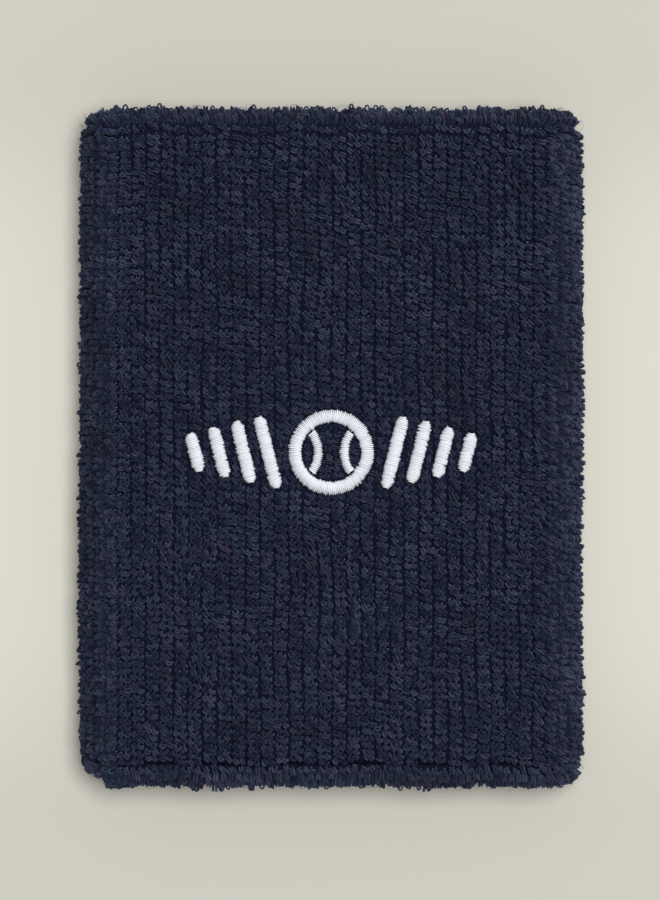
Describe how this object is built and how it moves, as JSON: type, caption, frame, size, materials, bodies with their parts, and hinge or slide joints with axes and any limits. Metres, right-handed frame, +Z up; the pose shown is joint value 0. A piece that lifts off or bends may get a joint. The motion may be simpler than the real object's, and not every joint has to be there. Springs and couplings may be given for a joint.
{
  "type": "sweat wristband",
  "caption": "Double-width terry-knit sweat wristband lying flat: a folded-in tube of loops, turned rims, laid-in elastic and a satin-stitched ball emblem.",
  "frame": {"origin": "middle of the flat underside, where the band rests on a table", "axes": "+X across the flat band to the right of the emblem, +Y along the arm towards the emblem's top, +Z up through the thickness"},
  "size_m": [0.089, 0.12, 0.0182],
  "materials": {
    "terry_navy": "matt looped terry",
    "ground_navy": "matt fine knit",
    "covered_elastic": "nylon-covered elastic yarn",
    "seam_thread_navy": "twisted sewing thread",
    "tear_away_backing": "non-woven backing",
    "bobbin_thread_white": "spun bobbin thread",
    "satin_thread_white": "lustrous embroidery thread"
  },
  "bodies": {
    "root": {"outer_terry_face": "terry_navy", "wrist_side_terry_face": "terry_navy", "upper_rim_terry": "terry_navy", "lower_rim_terry": "terry_navy", "ground_knit_tube": "ground_navy", "inlaid_elastic_yarns": "covered_elastic", "closing_seam_thread": "seam_thread_navy", "closing_seam_knot": "seam_thread_navy", "embroidery_backing": "tear_away_backing", "emblem_bobbin_thread": "bobbin_thread_white", "emblem_underlay_stitches": "satin_thread_white", "emblem_ball_outline": "satin_thread_white", "emblem_ball_curves": "satin_thread_white", "emblem_left_bars": "satin_thread_white", "emblem_right_bars": "satin_thread_white"}
  },
  "joints": []
}
